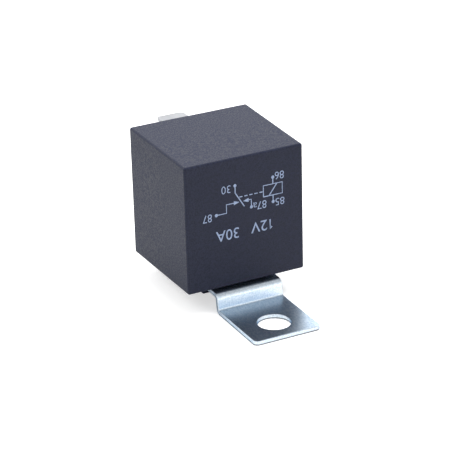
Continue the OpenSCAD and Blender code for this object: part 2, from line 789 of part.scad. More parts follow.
module contact_leaf() {
    corner_r = 0.8;
    nose_r = 1.2;
    front = contact_y + contact_r + contact_land;
    color(bronze) lay_down() swing_open() difference() {
        translate([0, 0, leaf_z]) linear_extrude(leaf_t) {
            translate([0, (leaf_back + armature_front) / 2])
                rounded_rect(leaf_back_w, armature_front - leaf_back, corner_r);
            translate([0, (rivet_y + front) / 2])
                rounded_rect(leaf_w, front - rivet_y, nose_r);
        }
        for (x = [-1, 1])
            translate([x * rivet_x, rivet_y, leaf_z - eps])
                cylinder(r = rivet_r + pin_gap, h = leaf_t + 2 * eps);
        translate([0, contact_y, leaf_z - eps])
            cylinder(r = shank_r + pin_gap, h = leaf_t + 2 * eps);
    }
}

// Dome of radius r and height h that stands on z = 0
module dome(r, h) {
    ball = (r * r + h * h) / (2 * h);
    intersection() {
        translate([0, 0, h - ball]) sphere(ball);
        cylinder(r = r, h = h);
    }
}

module leaf_rivets() {
    color(soft_iron) lay_down() swing_open()
        for (x = [-1, 1]) translate([x * rivet_x, rivet_y, 0]) {
            translate([0, 0, hinge_z])
                cylinder(r = rivet_r, h = armature_t + leaf_t + eps);
            translate([0, 0, leaf_top]) dome(rivet_head_r, rivet_head_h);
        }
}

// Head of a contact rivet: a disc with a crowned face, up from z = 0
module contact_head() {
    cylinder(r = contact_r, h = contact_h - contact_crown);
    translate([0, 0, contact_h - contact_crown - eps])
        dome(contact_r, contact_crown + eps);
}

module moving_contact() {
    color(silver) lay_down() swing_open() translate([0, contact_y, 0]) {
        translate([0, 0, leaf_top]) contact_head();
        translate([0, 0, leaf_z]) mirror([0, 0, 1]) contact_head();
        translate([0, 0, leaf_z - eps]) cylinder(r = shank_r, h = leaf_t + 2 * eps);
    }
}

// Fixed contact rivet on a strip whose face is z = 0: head above, clinched below
module fixed_contact() {
    contact_head();
    translate([0, 0, -blade_t - eps]) cylinder(r = shank_r, h = blade_t + 2 * eps);
    translate([0, 0, -blade_t - clinch_h]) cylinder(r = shank_r + clinch_w, h = clinch_h);
}

module contact_87() {
    color(silver) lay_down()
        translate([0, contact_y, shelf_z + blade_t]) fixed_contact();
}

module contact_87a() {
    color(silver) lay_down()
        translate([0, break_contact[0], arm_z]) mirror([0, 0, 1]) fixed_contact();
}

// Tension spring with a loop at each end, round the lug below and the tail above
module return_spring() {
    lug_loop = lug_z + neck_half;
    tail_loop = hinge_z + armature_t - neck_half;
    low = lug_z + yoke_t + loop_room;
    high = hinge_z - loop_room;
    r = spring_mid_r;
    per_turn = 12;
    points = spring_turns * per_turn;
    color(spring_steel) lay_down() translate([0, spring_y, 0])
        wire(concat(
            [for (a = [180:20:360]) [r * cos(a), 0, lug_loop + r * sin(a)]],
            [for (i = [0:points])
                let (a = 360 * i / per_turn)
                    [r * cos(a), r * sin(a), low + (high - low) * i / points]],
            [for (a = [0:20:180]) [r * cos(a), 0, tail_loop + r * sin(a)]]),
            spring_wire_d / 2);
}

// Copper braid that carries the current from the yoke over the hinge to the leaf. Its ends
// lie straight where they are welded.
module shunt_braid() {
    r = braid_d / 2;
    weld_l = 3;
    bow = 1;
    x = (tab_half + yoke_w / 2) / 2;
    y = hinge_y - r - touch_gap;
    low = pole_z - free_gap - weld_l;
    loop_top = ceiling - free_gap - r;
    landing = swung(core_y - weld_l / 2, leaf_top + r + touch_gap);
    end = swung(core_y + weld_l / 2, leaf_top + r + touch_gap);
    color(copper) lay_down()
        wire(concat([[x, y, low]],
            curve([x, y, low + weld_l], [x, y - bow, loop_top + bow],
                [0, rivet_y - bow, loop_top + bow], [0, landing[0], landing[1]], 16),
            [[0, end[0], end[1]]]), r, 10);
}

cover();
base();
bracket();
terminal_85();
terminal_86();
terminal_30();
terminal_87();
terminal_87a();
yoke();
core();
bobbin();
winding();
armature();
contact_leaf();
leaf_rivets();
moving_contact();
contact_87();
contact_87a();
return_spring();
shunt_braid();
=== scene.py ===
# %% [markdown]
# A five-pin cube relay for cars, lying on its steel mounting bracket. The solids of the relay
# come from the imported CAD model. This lesson gives them their finishes, makes the bracket
# again with soft edges and two bending parts from round wires, prints the circuit on the
# cover, and sets up the light and camera.

# %% Load the frame
from math import cos, pi, radians, sin

import bpy
from mathutils import Matrix, Vector
from mathutils.geometry import interpolate_bezier


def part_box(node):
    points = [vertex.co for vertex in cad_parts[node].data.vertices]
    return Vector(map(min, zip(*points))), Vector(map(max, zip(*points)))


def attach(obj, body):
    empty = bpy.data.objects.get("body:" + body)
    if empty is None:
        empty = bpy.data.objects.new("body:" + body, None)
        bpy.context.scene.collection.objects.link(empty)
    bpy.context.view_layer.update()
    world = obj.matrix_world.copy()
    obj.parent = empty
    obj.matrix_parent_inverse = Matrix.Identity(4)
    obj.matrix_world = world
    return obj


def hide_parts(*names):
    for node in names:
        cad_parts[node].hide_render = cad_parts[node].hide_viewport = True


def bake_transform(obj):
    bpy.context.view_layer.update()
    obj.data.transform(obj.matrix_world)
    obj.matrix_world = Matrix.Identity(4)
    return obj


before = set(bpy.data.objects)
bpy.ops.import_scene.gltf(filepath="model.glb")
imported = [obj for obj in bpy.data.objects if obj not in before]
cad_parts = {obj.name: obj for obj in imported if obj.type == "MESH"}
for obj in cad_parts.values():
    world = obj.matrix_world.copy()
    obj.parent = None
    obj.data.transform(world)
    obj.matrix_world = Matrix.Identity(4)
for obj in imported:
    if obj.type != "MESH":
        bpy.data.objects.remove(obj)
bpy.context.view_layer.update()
MM = 0.001
print("CAD nodes:", len(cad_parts))

# %% [markdown]
# Operators act on all that is selected, and a new scene may hold other things. So each step
# starts with nothing selected. A finished piece keeps its place in its mesh: its object sits
# at the origin, unturned and unscaled, so that a pattern on Object coordinates stays put.

# %% Helpers for selecting and finishing
def deselect_all():
    if bpy.context.mode != "OBJECT":
        bpy.ops.object.mode_set(mode="OBJECT")
    bpy.ops.object.select_all(action="DESELECT")


def pick(obj):
    deselect_all()
    bpy.context.view_layer.objects.active = obj
    obj.select_set(True)
    return obj


def set_place(obj):
    """Moves the object's place, turn and scale into its mesh."""
    pick(obj)
    bpy.ops.object.transform_apply(location=True, rotation=True, scale=True)
    return obj


def apply_modifiers(obj):
    pick(obj)
    for name in [m.name for m in obj.modifiers]:
        bpy.ops.object.modifier_apply(modifier=name)
    return obj


def join(name, parts):
    pick(parts[0])
    for part in parts[1:]:
        part.select_set(True)
    bpy.ops.object.join()
    whole = bpy.context.object
    whole.name = name
    whole.data.name = name
    return whole


# %% [markdown]
# The frame says where things are. The cover's front is the closed, printed end. Its sides
# lean outwards by the mould's draft, so the middle of the printed face lies a little below
# the middle of the cover.

# %% Places taken from the frame
cover_low, cover_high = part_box("cover")
plate_low, plate_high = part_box("bracket")
draft = 0.3 * MM
cover_h = 28.6 * MM
face = Vector((0, cover_low.y, cover_high.z - draft - cover_h / 2))
print("middle of the printed face, mm:", [round(v / MM, 2) for v in face])

# %% [markdown]
# Materials. Every finish starts from one shader, whose plain values are set by name. What
# varies over the surface comes from nodes that are linked to it. The same helpers serve the
# world, which has nodes too.

# %% Helpers for nodes
def new_finish(name, color, roughness, metallic=0.0):
    """A new material and its shader, with the shader's plain values set."""
    material = bpy.data.materials.new(name)
    material.use_nodes = True
    shader = material.node_tree.nodes["Principled BSDF"]
    shader.inputs["Base Color"].default_value = (*color, 1)
    shader.inputs["Roughness"].default_value = roughness
    shader.inputs["Metallic"].default_value = metallic
    return material, shader


def add_node(owner, kind, **values):
    """A new node of a material or of the world, with inputs and settings given by name."""
    node = owner.node_tree.nodes.new(kind)
    for name, value in values.items():
        if name in node.inputs:
            node.inputs[name].default_value = value
        else:
            setattr(node, name, value)
    return node


def link(owner, out_socket, in_socket):
    owner.node_tree.links.new(out_socket, in_socket)


def feed(owner, value, in_socket):
    """Sets the socket to a number, or links it where the value is another node's socket."""
    if isinstance(value, bpy.types.NodeSocket):
        link(owner, value, in_socket)
    else:
        in_socket.default_value = value


# %% [markdown]
# A pattern is a chain of nodes. A texture gives a number at each point, and that number is
# turned into a colour, a roughness or a height. The textures are measured in millimetres: a
# Noise texture with scale 1000 has a grain of about a millimetre on an object that is drawn
# in metres, so the helper divides by the size of the grain.

# %% Helpers for patterns
def grain(material, size, detail=2.0, stretch=(1, 1, 1), seed=0.0):
    """Noise whose grain has that size in metres. Stretch makes it long along an axis."""
    place = add_node(material, "ShaderNodeTexCoord")
    mapping = add_node(material, "ShaderNodeMapping")
    mapping.inputs["Scale"].default_value = [1 / s for s in stretch]
    mapping.inputs["Location"].default_value = (seed, seed, seed)
    noise = add_node(material, "ShaderNodeTexNoise", Scale=1 / size, Detail=detail)
    link(material, place.outputs["Object"], mapping.inputs["Vector"])
    link(material, mapping.outputs["Vector"], noise.inputs["Vector"])
    return noise.outputs["Fac"]


def between(owner, fac, low, high, start=0.3, end=0.7):
    """A number that goes from low to high while fac goes from start to end."""
    node = add_node(owner, "ShaderNodeMapRange")
    for name, value in (("From Min", start), ("From Max", end), ("To Min", low), ("To Max", high)):
        feed(owner, value, node.inputs[name])
    link(owner, fac, node.inputs["Value"])
    return node.outputs["Result"]


def shades(material, fac, stops):
    """Colours along the texture: stops are (position, colour)."""
    ramp = add_node(material, "ShaderNodeValToRGB")
    elements = ramp.color_ramp.elements
    while len(elements) < len(stops):
        elements.new(0.5)
    for element, (position, color) in zip(elements, stops):
        element.position = position
        element.color = (*color, 1)
    link(material, fac, ramp.inputs["Fac"])
    return ramp.outputs["Color"]


def bump(material, shader, fac, depth):
    """Raises the surface by that depth in metres where the texture is bright."""
    node = add_node(material, "ShaderNodeBump", Strength=1.0, Distance=depth)
    link(material, fac, node.inputs["Height"])
    link(material, node.outputs["Normal"], shader.inputs["Normal"])


# %% [markdown]
# The cover and the base are black nylon, moulded in a tool whose walls were eroded by sparks.
# That leaves a fine, even grain. It could be a picture laid on each side, but a picture shows
# a seam at the edges. Noise that is measured in the part's own millimetres runs on over them.
#
# The plastic itself is nearly black, and the grey that shows is light on its matt grain:
# little on the end that faces us, more where we look along a side. A little sheen adds to
# that, and the roughness varies with the grain, which makes it show.

# %% Black moulded plastic
def black_plastic_finish(name, grain_size, grain_depth):
    material, shader = new_finish(name, (0.02, 0.022, 0.05), 0.5)
    shader.inputs["Specular IOR Level"].default_value = 0.32
    shader.inputs["Specular Tint"].default_value = (0.86, 0.88, 1.0, 1)
    shader.inputs["Sheen Weight"].default_value = 0.08
    shader.inputs["Sheen Roughness"].default_value = 0.4
    shader.inputs["Sheen Tint"].default_value = (0.75, 0.86, 1.0, 1)
    sparks = grain(material, grain_size, detail=2.0, stretch=(1, 1.5, 1))
    color = shades(material, sparks, [(0.35, (0.005, 0.007, 0.018)),
                                      (0.65, (0.0195, 0.0225, 0.045))])
    link(material, color, shader.inputs["Base Color"])
    link(material, between(material, sparks, 0.41, 0.7, 0.38, 0.62), shader.inputs["Roughness"])
    bump(material, shader, sparks, grain_depth)
    return material


cover_grain, cover_grain_depth = 0.27 * MM, 0.035 * MM
base_grain, base_grain_depth = 0.45 * MM, 0.03 * MM
black_cover = black_plastic_finish("black_cover_plastic", cover_grain, cover_grain_depth)
black_base = black_plastic_finish("black_base_plastic", base_grain, base_grain_depth)
print("grain, mm: cover %.2f, base %.2f" % (cover_grain / MM, base_grain / MM))

# %% [markdown]
# The bracket is cold-rolled strip with zinc on it, which has a blue tinge. The zinc is laid
# down as crystals of a few tenths of a millimetre, drawn out along the strip, and it is a
# little dull. Seen at a low angle it looks darker and bluer than from above, which the
# shader's specular tint does. The texture's roughness varies only a little, because a surface
# that is partly smooth and partly dull would look dirty.

# %% Zinc-plated steel
def zinc_finish(name):
    material, shader = new_finish(name, (0.74, 0.8, 0.87), 0.2, metallic=1.0)
    shader.inputs["Specular Tint"].default_value = (0.06, 0.24, 0.48, 1)
    crystals = grain(material, 0.3 * MM, detail=2.0, stretch=(1, 2.2, 1), seed=1.0)
    dull_spots = grain(material, 0.35 * MM, detail=1.0, seed=4.0)
    color = shades(material, crystals, [(0.35, (0.63, 0.74, 0.84)), (0.65, (0.85, 0.93, 1.0))])
    # The punch shears the upper part of the plate's edge and breaks the rest: a dull band. Its dark
    # grey is also painted shade, the shadow line where the plate meets the floor
    place = add_node(material, "ShaderNodeTexCoord")
    split = add_node(material, "ShaderNodeSeparateXYZ")
    link(material, place.outputs["Object"], split.inputs["Vector"])
    height_mm = between(material, split.outputs["Z"], 0, 1, 0, 1 * MM)
    bright, dull = (1, 1, 1), (0, 0, 0)
    broken_band_and_foot_shade = shades(material, height_mm, [(0.02, bright), (0.06, dull), (0.26, dull), (0.4, bright)])
    # The dark grey low on the sheet is partly the broken band and partly painted shade at the plate's
    # foot
    edge = add_node(material, "ShaderNodeMixRGB", Color1=(0.2, 0.22, 0.25, 1))
    link(material, broken_band_and_foot_shade, edge.inputs["Fac"])
    link(material, color, edge.inputs["Color2"])
    link(material, edge.outputs["Color"], shader.inputs["Base Color"])
    link(material, between(material, dull_spots, 0.32, 0.335), shader.inputs["Roughness"])
    bump(material, shader, crystals, 0.009 * MM)
    return material


zinc_steel = zinc_finish("zinc_plated_steel")
print("plating:", zinc_steel.name)

# %% [markdown]
# The other metals differ in colour, in how dull they are, and in the way their grain runs.
# One function makes them all: a fine grain for the roughness and bump, and slow clouds for
# the colour. Each gets a little darker where it is seen at a low angle, as the zinc does.

# %% The other metals
def metal_finish(name, dark, light, dull, bright, grain_size=0.15 * MM, stretch=(1, 1, 1)):
    material, shader = new_finish(name, light, dull, metallic=1.0)
    shader.inputs["Specular Tint"].default_value = (0.65, 0.65, 0.66, 1)
    fine = grain(material, grain_size, detail=2.0, stretch=stretch)
    clouds = grain(material, 1.8 * MM, detail=3.0, stretch=stretch, seed=2.0)
    link(material, shades(material, clouds, [(0.3, dark), (0.7, light)]),
         shader.inputs["Base Color"])
    link(material, between(material, fine, bright, dull), shader.inputs["Roughness"])
    bump(material, shader, fine, 0.003 * MM)
    return material


tinned_brass = metal_finish("tinned_brass_blades", (0.44, 0.45, 0.47), (0.53, 0.54, 0.56),
                            0.42, 0.28, stretch=(1, 20, 1))
soft_iron = metal_finish("nickel_flashed_iron", (0.47, 0.47, 0.46), (0.6, 0.59, 0.56), 0.5, 0.35)
copper = metal_finish("enamelled_copper", (0.64, 0.24, 0.1), (0.85, 0.38, 0.18), 0.4, 0.22)
bare_braid = metal_finish("bare_copper_braid", (0.55, 0.24, 0.12), (0.86, 0.5, 0.32), 0.5, 0.3,
                          grain_size=0.2 * MM)
bronze = metal_finish("bronze_leaf", (0.55, 0.34, 0.16), (0.8, 0.56, 0.3), 0.35, 0.22,
                      stretch=(1, 20, 1))
silver = metal_finish("silver_contact", (0.72, 0.71, 0.68), (0.9, 0.89, 0.86), 0.35, 0.2)
spring_steel = metal_finish("spring_steel", (0.3, 0.31, 0.33), (0.5, 0.51, 0.54), 0.35, 0.22)
metals = (tinned_brass, soft_iron, copper, bare_braid, bronze, silver, spring_steel)
print("other metals:", [metal.name for metal in metals])

# %% [markdown]
# The bobbin is nylon with no pigment. It lets a little light in, which the shader does with
# its subsurface value.

# %% Natural nylon
def nylon_finish():
    material, shader = new_finish("natural_nylon_bobbin", (0.8, 0.76, 0.64), 0.4)
    shader.inputs["Subsurface Weight"].default_value = 0.15
    shader.inputs["Subsurface Radius"].default_value = (1 * MM, 0.8 * MM, 0.5 * MM)
    clouds = grain(material, 3 * MM)
    color = shades(material, clouds, [(0.3, (0.74, 0.69, 0.55)), (0.7, (0.84, 0.8, 0.7))])
    link(material, color, shader.inputs["Base Color"])
    bump(material, shader, grain(material, 0.4 * MM), 0.004 * MM)
    return material


natural_nylon = nylon_finish()
print("bobbin's finish:", natural_nylon.name)

# %% [markdown]
# Each CAD node gets its finish. Its mesh stays as the CAD made it, and only its shading is
# chosen here.

# %% Dress the CAD nodes
node_finishes = {
    "cover": black_cover, "base": black_base,
    "terminal_85": tinned_brass, "terminal_86": tinned_brass, "terminal_30": tinned_brass,
    "terminal_87": tinned_brass, "terminal_87a": tinned_brass,
    "yoke": soft_iron, "core": soft_iron, "armature": soft_iron, "leaf_rivets": soft_iron,
    "bobbin": natural_nylon, "winding": copper, "contact_leaf": bronze,
    "moving_contact": silver, "contact_87": silver, "contact_87a": silver,
}
for node_name, finish in node_finishes.items():
    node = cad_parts[node_name]
    node.data.materials.clear()
    node.data.materials.append(finish)
print("CAD nodes dressed:", len(node_finishes))

# %% [markdown]
# The bracket is one strip of steel, folded twice into a joggle. On a real one the cut edges
# aren't sharp: the punch rolls them over a little, and that thin round edge catches the light
# all round the plate and the hole. So it is made again here.
#
# It could be cut from a block, but then each bend would have to be drawn twice, inside and
# outside. A ribbon through the middle of the sheet has each bend once: the plate comes first,
# then a bend is spun, the slope is extruded, the second bend is spun back, and the flat that
# goes into the cover is extruded. Solidify gives it the same thickness everywhere.

# %% Bracket: its sizes
sheet_t = 1.0 * MM
bend_mid_r = 0.4 * MM + sheet_t / 2
joggle = 3.5 * MM
joggle_angle = radians(82)
bolt_hole_r = 3.5 * MM
plate_corner_r = 1.1 * MM
window_w = 3.6 * MM
lead_in = 1.0 * MM
rolled_edge = 0.2 * MM
tolerance = 0.001 * MM
bend_steps = 8
corner_steps = 8
rolled_steps = 3
hole_facets = 96
sharp_angle = radians(40)
pocket_stop_y = cover_high.y - 1.6 * MM
pocket_front_y = cover_low.y + 4.2 * MM

slope_l = (joggle - 2 * bend_mid_r * (1 - cos(joggle_angle))) / sin(joggle_angle)
joggle_run = 2 * bend_mid_r * sin(joggle_angle) + slope_l * cos(joggle_angle)
plate_end_y = face.y - joggle_run
print("joggle: slope %.2f mm, run %.2f mm" % (slope_l / MM, joggle_run / MM))


# %% Bracket: a ribbon through the middle of the sheet
def select_where(obj, test, edges=False):
    """In edit mode, selects the vertices, or the edges, whose middle the test says yes to."""
    bpy.ops.mesh.select_mode(type="EDGE" if edges else "VERT")
    bpy.ops.mesh.select_all(action="DESELECT")
    bpy.ops.object.mode_set(mode="OBJECT")
    vertices = obj.data.vertices
    for part in obj.data.edges if edges else vertices:
        ends = [vertices[i] for i in part.vertices] if edges else [part]
        part.select = test(sum((v.co for v in ends), Vector()) / len(ends))
    bpy.ops.object.mode_set(mode="EDIT")


def close_to(value, goal):
    return abs(value - goal) < tolerance


def make_ribbon():
    deselect_all()
    plate_l = plate_end_y - plate_low.y
    bpy.ops.mesh.primitive_plane_add(size=1)
    ribbon = bpy.context.object
    ribbon.scale = (plate_high.x - plate_low.x, plate_l, 1)
    ribbon.location = (0, plate_low.y + plate_l / 2, sheet_t / 2)
    set_place(ribbon)
    bpy.ops.object.mode_set(mode="EDIT")
    select_where(ribbon, lambda p: close_to(p.y, plate_end_y), edges=True)
    bpy.ops.mesh.spin(steps=bend_steps, angle=-joggle_angle, axis=(1, 0, 0),
                      center=(0, plate_end_y, sheet_t / 2 + bend_mid_r))
    slope = Vector((0, cos(joggle_angle), sin(joggle_angle))) * slope_l
    bpy.ops.mesh.extrude_region_move(TRANSFORM_OT_translate={"value": slope})
    bpy.ops.mesh.spin(steps=bend_steps, angle=joggle_angle, axis=(1, 0, 0),
                      center=(0, face.y, sheet_t / 2 + joggle - bend_mid_r))
    flat = (0, plate_high.y - face.y, 0)
    bpy.ops.mesh.extrude_region_move(TRANSFORM_OT_translate={"value": flat})
    select_where(ribbon, lambda p: close_to(p.y, plate_low.y))
    bpy.ops.mesh.bevel(offset=plate_corner_r, segments=corner_steps, affect="VERTICES")
    select_where(ribbon, lambda p: close_to(p.y, plate_high.y))
    bpy.ops.mesh.bevel(offset=lead_in, segments=1, affect="VERTICES")
    bpy.ops.mesh.select_all(action="SELECT")
    bpy.ops.mesh.remove_doubles(threshold=tolerance)
    bpy.ops.mesh.normals_make_consistent(inside=False)
    bpy.ops.object.mode_set(mode="OBJECT")
    return ribbon


bracket_sheet = make_ribbon()
thickness = bracket_sheet.modifiers.new("sheet", "SOLIDIFY")
thickness.thickness = sheet_t
thickness.offset = 0
apply_modifiers(bracket_sheet)
print("ribbon made solid:", len(bracket_sheet.data.polygons), "faces")

# %% [markdown]
# The bolt hole and the square window, which the cover's nib snaps into, are punched. Each is
# cut with a solid that is taken away, and the cutter is then removed. Bevel rounds the edges
# last, so that the edges of the holes are rolled over like the others.

# %% Bracket: bolt hole and window
def cut_out(obj, cutter):
    cut = obj.modifiers.new("cut", "BOOLEAN")
    cut.operation = "DIFFERENCE"
    cut.solver = "EXACT"
    cut.object = cutter
    apply_modifiers(obj)
    bpy.data.objects.remove(cutter)


deselect_all()
bpy.ops.mesh.primitive_cylinder_add(vertices=hole_facets, radius=bolt_hole_r, depth=4 * sheet_t)
cut_out(bracket_sheet, bpy.context.object)
deselect_all()
bpy.ops.mesh.primitive_cube_add(
    size=window_w, location=(0, (pocket_stop_y + pocket_front_y) / 2, joggle + sheet_t / 2))
cut_out(bracket_sheet, bpy.context.object)

# %% Bracket: rolled edges
pick(bracket_sheet)
bpy.ops.object.shade_smooth_by_angle(angle=sharp_angle)
rolled = bracket_sheet.modifiers.new("rolled_edge", "BEVEL")
rolled.width = rolled_edge
rolled.segments = rolled_steps
rolled.limit_method = "ANGLE"
rolled.angle_limit = sharp_angle
rolled.harden_normals = True
apply_modifiers(bracket_sheet)
bracket_sheet.name = "bracket_sheet"
bracket_sheet.data.name = "bracket_sheet"
bracket_sheet.data.materials.append(zinc_steel)
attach(bracket_sheet, "housing")
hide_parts("bracket")
low = [min(v.co[i] for v in bracket_sheet.data.vertices) / MM for i in range(3)]
high = [max(v.co[i] for v in bracket_sheet.data.vertices) / MM for i in range(3)]
print("bracket sheet, mm:", [round(v, 2) for v in low + high])

# %% [markdown]
# Two small parts inside bend when the armature swings by its 2.6 degrees: the copper braid that
# takes the current over the hinge, and the return spring. A stiff part can only ride on one
# body, and would leave a gap at the other. So both are made again from wires.
#
# A wire is a curve through its points with a round section, which is simpler than sweeping a
# circle by hand, and its ends are closed when it becomes a mesh.

# %% Wires
def bent_wire(points, radius, sides=2):
    """A round wire along the points, as a mesh with closed ends."""
    deselect_all()
    bpy.ops.curve.primitive_nurbs_path_add()
    curve = bpy.context.object
    curve.data.splines.clear()
    spline = curve.data.splines.new("POLY")
    spline.points.add(len(points) - 1)
    for point, place in zip(spline.points, points):
        point.co = (*place, 1)
    curve.data.bevel_depth = radius
    curve.data.bevel_resolution = sides
    curve.data.use_fill_caps = True
    bpy.ops.object.convert(target="MESH")
    return bpy.context.object


def evenly(points, count):
    """The same line, as that many points at even steps."""
    steps = [(b - a).length for a, b in zip(points, points[1:])]
    spaced = []
    for i in range(count):
        left = sum(steps) * i / (count - 1)
        k = 0
        while k < len(steps) - 1 and left > steps[k]:
            left -= steps[k]
            k += 1
        spaced.append(points[k].lerp(points[k + 1], min(left / steps[k], 1)))
    return spaced


# %% [markdown]
# The braid lies straight where it is welded to the yoke and to the leaf, and bows over the
# hinge between them. It is woven from strands that run round its middle line both ways. A
# strand goes over one that it meets and under the next, so its distance from the middle line
# swings as it goes round. A core fills the middle, so that no light comes through the weave.

# %% Copper braid: its middle line
braid_r = 0.6 * MM
strand_r = 0.1 * MM
core_r = braid_r - 4 * strand_r
strands = 8
braid_turns = 4.5
braid_points = 300
bow_points = 40
yoke_end, yoke_leave = Vector((3.675, 22.942, 8.46)) * MM, Vector((3.675, 19.942, 8.46)) * MM
leaf_land, leaf_end = Vector((0, 16.947, 15.991)) * MM, Vector((0, 16.811, 18.988)) * MM
bow_low, bow_high = Vector((3.675, 13.2, 7.46)) * MM, Vector((0, 13.2, 13.3)) * MM
bow = interpolate_bezier(yoke_leave, bow_low, bow_high, leaf_land, bow_points)
middle_line = evenly([yoke_end, *bow, leaf_end], braid_points)
braid_l = sum((b - a).length for a, b in zip(middle_line, middle_line[1:]))
print("braid: %.1f mm long" % (braid_l / MM))


# %% Copper braid: its strands
def braid_strand(way, number):
    """One strand, which goes round the middle line to the left (1) or to the right (-1)."""
    weave = 0.5 * strand_r
    last = braid_points - 1
    points = []
    for i, centre in enumerate(middle_line):
        ahead = middle_line[min(i + 1, last)] - middle_line[max(i - 1, 0)]
        up = ahead.cross(Vector((1, 0, 0))).normalized()
        side = ahead.cross(up).normalized()
        turn = 2 * pi * braid_turns * i / last
        angle = way * turn + 2 * pi * number / strands
        out = braid_r - strand_r - weave + way * weave * cos(strands * turn)
        points.append(centre + (up * cos(angle) + side * sin(angle)) * out)
    return bent_wire(points, strand_r, 1)


woven = [braid_strand(way, number) for way in (1, -1) for number in range(strands)]
woven.append(bent_wire(middle_line, core_r, 3))
braid = join("braid_strands", woven)
bpy.ops.object.shade_smooth()
braid.data.materials.append(bare_braid)
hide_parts("shunt_braid")
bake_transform(braid)
print("braid:", len(braid.data.polygons), "faces")

# %% [markdown]
# The return spring pulls the armature back when the coil is off. It is steel wire, wound into
# a coil with a hook at each end, one round the yoke's lug and one round the armature's tail.
# A Screw modifier could wind the coil, but the hooks would still have to be joined on. One
# line of points takes the first hook, the coil and the second hook in turn.

# %% Return spring
spring_axis_z = 7.7 * MM
spring_r = 0.85 * MM
spring_wire_r = 0.15 * MM
spring_turns = 12
lug_loop_y, coil_low_y = 29.38 * MM, 27.95 * MM
coil_high_y, tail_loop_y = 19.852 * MM, 18.622 * MM
steps_per_turn = 24
hook_steps = 12


def spring_point(angle, y, hook=False):
    """A point of the coil, or of a hook, which stands up along the spring and not across it."""
    if hook:
        return Vector((spring_r * cos(angle), y - spring_r * sin(angle), spring_axis_z))
    return Vector((spring_r * cos(angle), y, spring_axis_z + spring_r * sin(angle)))


lug_hook = [spring_point(pi + pi * i / hook_steps, lug_loop_y, hook=True)
            for i in range(hook_steps)]
coil_steps = spring_turns * steps_per_turn
coil = [spring_point(2 * pi * i / steps_per_turn,
                     coil_low_y + (coil_high_y - coil_low_y) * i / coil_steps)
        for i in range(coil_steps + 1)]
tail_hook = [spring_point(pi * i / hook_steps, tail_loop_y, hook=True)
             for i in range(hook_steps + 1)]
spring_wire = bent_wire(lug_hook + coil + tail_hook, spring_wire_r)
spring_wire.name = "spring_wire"
spring_wire.data.name = "spring_wire"
bpy.ops.object.shade_smooth()
spring_wire.data.materials.append(spring_steel)
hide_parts("return_spring")
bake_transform(spring_wire)
print("spring:", len(spring_wire.data.polygons), "faces")

# %% [markdown]
# The print. Pale ink is pressed on the closed end with a pad. It could be drawn into the
# cover's material, but then it would have no edge of its own, and a close view would show it
# blurred. Here each line is a curve with a round section, made a mesh and pressed flat against
# the face, so its ends and corners are round as ink is. Places are in millimetres from the
# middle of the face, to the right and up.

# %% Ink
def ink_finish():
    material, shader = new_finish("pale_print_ink", (0.32, 0.4, 0.58), 0.6)
    patches = grain(material, 0.5 * MM, detail=3.0)
    color = shades(material, patches, [(0.25, (0.22, 0.29, 0.45)), (0.6, (0.345, 0.43, 0.62))])
    link(material, color, shader.inputs["Base Color"])
    bump(material, shader, grain(material, 0.1 * MM), 0.004 * MM)
    return material


print_ink = ink_finish()
ink_lift = 0.012 * MM
line_w = 0.235 * MM
dot_d = 0.72 * MM
arrow_l, arrow_w, arrow_tip_w = 1.25 * MM, 0.9 * MM, 0.04 * MM
print("ink: lines %.3f mm wide, dots %.2f mm" % (line_w / MM, dot_d / MM))


# %% Lines, dots and arrows of ink
def on_face(x, z):
    """A point on the printed face, from millimetres to the right and up."""
    return Vector((face.x + x * MM, face.y, face.z + z * MM))


def press_flat(obj):
    """Flattens a piece of ink against the face, half in the plastic and half out."""
    pick(obj)
    bpy.ops.object.mode_set(mode="EDIT")
    bpy.ops.mesh.select_all(action="SELECT")
    thickness = max(v.co.y for v in obj.data.vertices) - min(v.co.y for v in obj.data.vertices)
    bpy.ops.transform.resize(value=(1, 2 * ink_lift / thickness, 1), center_override=face)
    bpy.ops.object.mode_set(mode="OBJECT")
    return obj


def ink_line(points, width=line_w):
    return press_flat(bent_wire([on_face(x, z) for x, z in points], width / 2, 3))


def ink_dot(x, z):
    deselect_all()
    bpy.ops.mesh.primitive_uv_sphere_add(segments=24, ring_count=12, radius=dot_d / 2,
                                         location=on_face(x, z))
    return press_flat(set_place(bpy.context.object))


def ink_arrow(x, z, toward):
    """An arrowhead whose tip is at x, z, and which points to the right (1) or left (-1)."""
    deselect_all()
    middle = on_face(x, z) - Vector((toward * arrow_l / 2, 0, 0))
    bpy.ops.mesh.primitive_cone_add(vertices=16, radius1=arrow_w / 2, radius2=arrow_tip_w / 2,
                                    depth=arrow_l, rotation=(0, toward * pi / 2, 0),
                                    location=middle)
    return press_flat(set_place(bpy.context.object))


# %% [markdown]
# The circuit is the usual one of such a relay: the coil is the box with a slanted line, and
# the changeover contact has its common end at the top and an arrow on each side. A dot ends
# each of the five lines, where the terminals are. The dashes say that the coil moves the
# contact. Each line runs on into its arrowhead, so that no gap shows.

